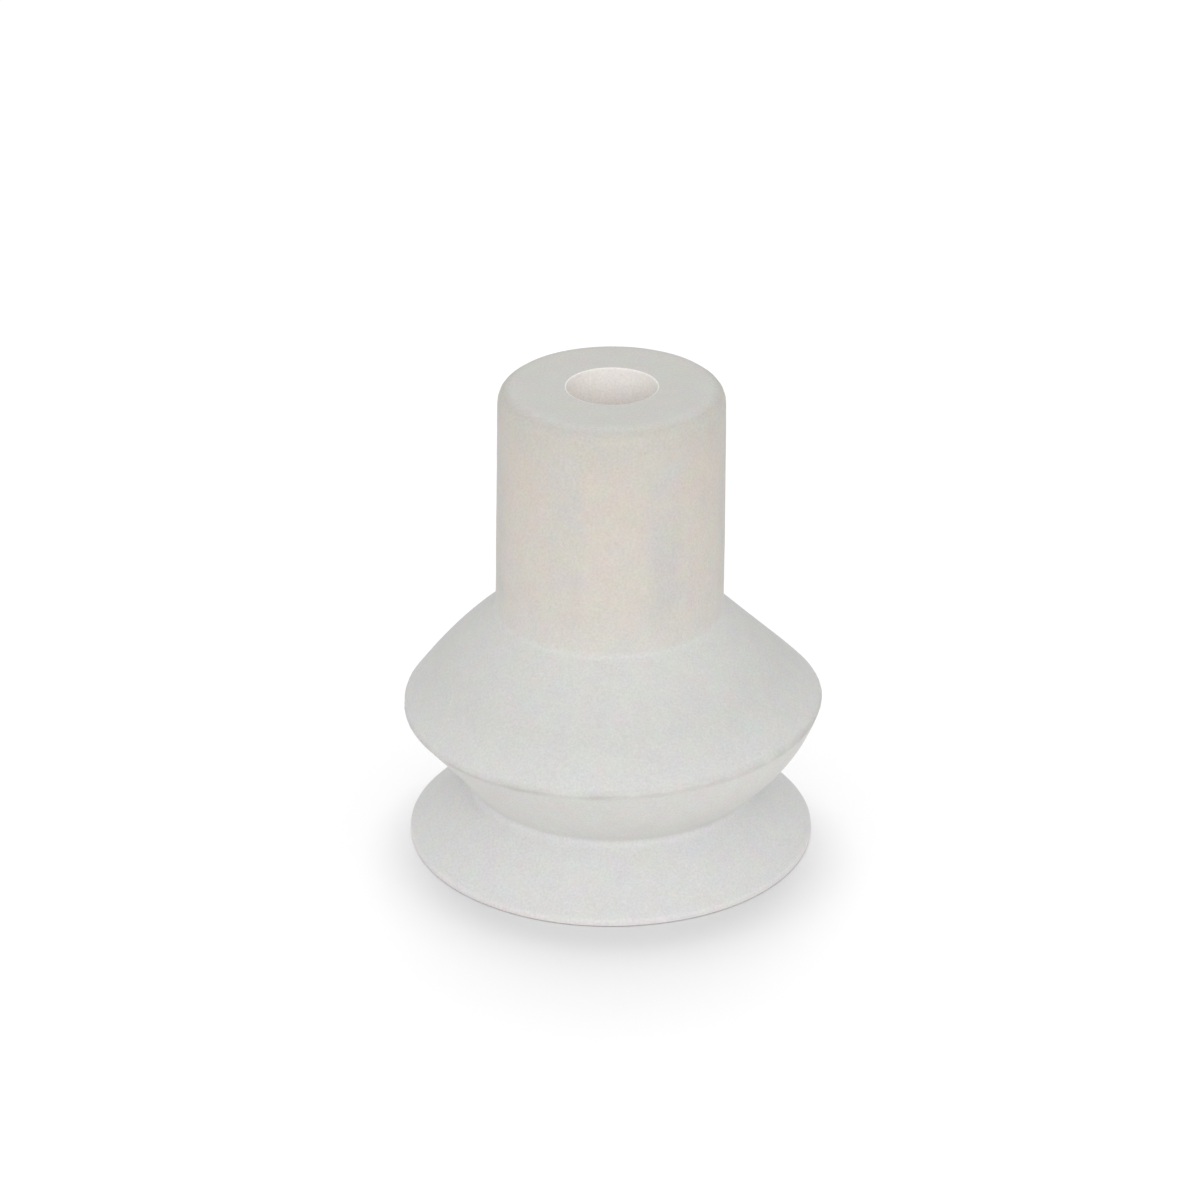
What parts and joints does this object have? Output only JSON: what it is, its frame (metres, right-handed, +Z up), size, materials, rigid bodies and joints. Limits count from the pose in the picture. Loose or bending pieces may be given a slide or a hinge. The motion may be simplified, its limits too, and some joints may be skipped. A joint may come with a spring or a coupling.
{
  "type": "vacuum suction cup",
  "caption": "Round bellows suction cup of translucent silicone with a push-on neck, one and a half folds and a thin flared sealing lip.",
  "frame": {"origin": "centre of the plane that the lip seals on", "axes": "+Z up along the cup's axis, from the sealing plane to the neck; X and Y lie in the sealing plane and are interchangeable, because the cup is round"},
  "size_m": [0.0188, 0.0188, 0.0219],
  "materials": {
    "silicone": "satin, milky and translucent, as moulded"
  },
  "bodies": {
    "neck": {"neck_sleeve": "silicone"},
    "neck_root": {"neck_root": "silicone"},
    "upper_fold": {"upper_fold_wall": "silicone"},
    "fold_ring": {"fold_ring": "silicone", "lower_fold_wall": "silicone"},
    "waist": {"waist_ring": "silicone", "lip_skirt": "silicone"},
    "lip_edge": {"sealing_edge": "silicone"}
  },
  "joints": [
    {"name": "tilt_about_x", "type": "hinge", "parent": "neck", "child": "neck_root", "pos_m": [0, 0, 0.0134], "axis": [1, 0, 0], "range_deg": [-8, 8], "stiffness_Nm_per_rad": 0.04, "deforming": ["neck_root"]},
    {"name": "tilt_about_y", "type": "hinge", "parent": "neck_root", "child": "upper_fold", "pos_m": [0, 0, 0.0112], "axis": [0, 1, 0], "range_deg": [-8, 8], "stiffness_Nm_per_rad": 0.04},
    {"name": "upper_fold_travel", "type": "slide", "parent": "upper_fold", "child": "fold_ring", "axis": [0, 0, 1], "range_m": [-0.0006, 0.0025], "stiffness_N_per_m": 900, "deforming": ["upper_fold_wall"]},
    {"name": "lower_fold_travel", "type": "slide", "parent": "fold_ring", "child": "waist", "axis": [0, 0, 1], "range_m": [-0.0005, 0.00175], "stiffness_N_per_m": 100, "deforming": ["lower_fold_wall"]},
    {"name": "lip_splay", "type": "slide", "parent": "waist", "child": "lip_edge", "axis": [0, 0, 1], "range_m": [0, 0.0012], "stiffness_N_per_m": 800, "deforming": ["lip_skirt"]}
  ],
  "couplings": [
    {"joint": "lower_fold_travel", "follows": "upper_fold_travel", "ratio": 0.7}
  ]
}
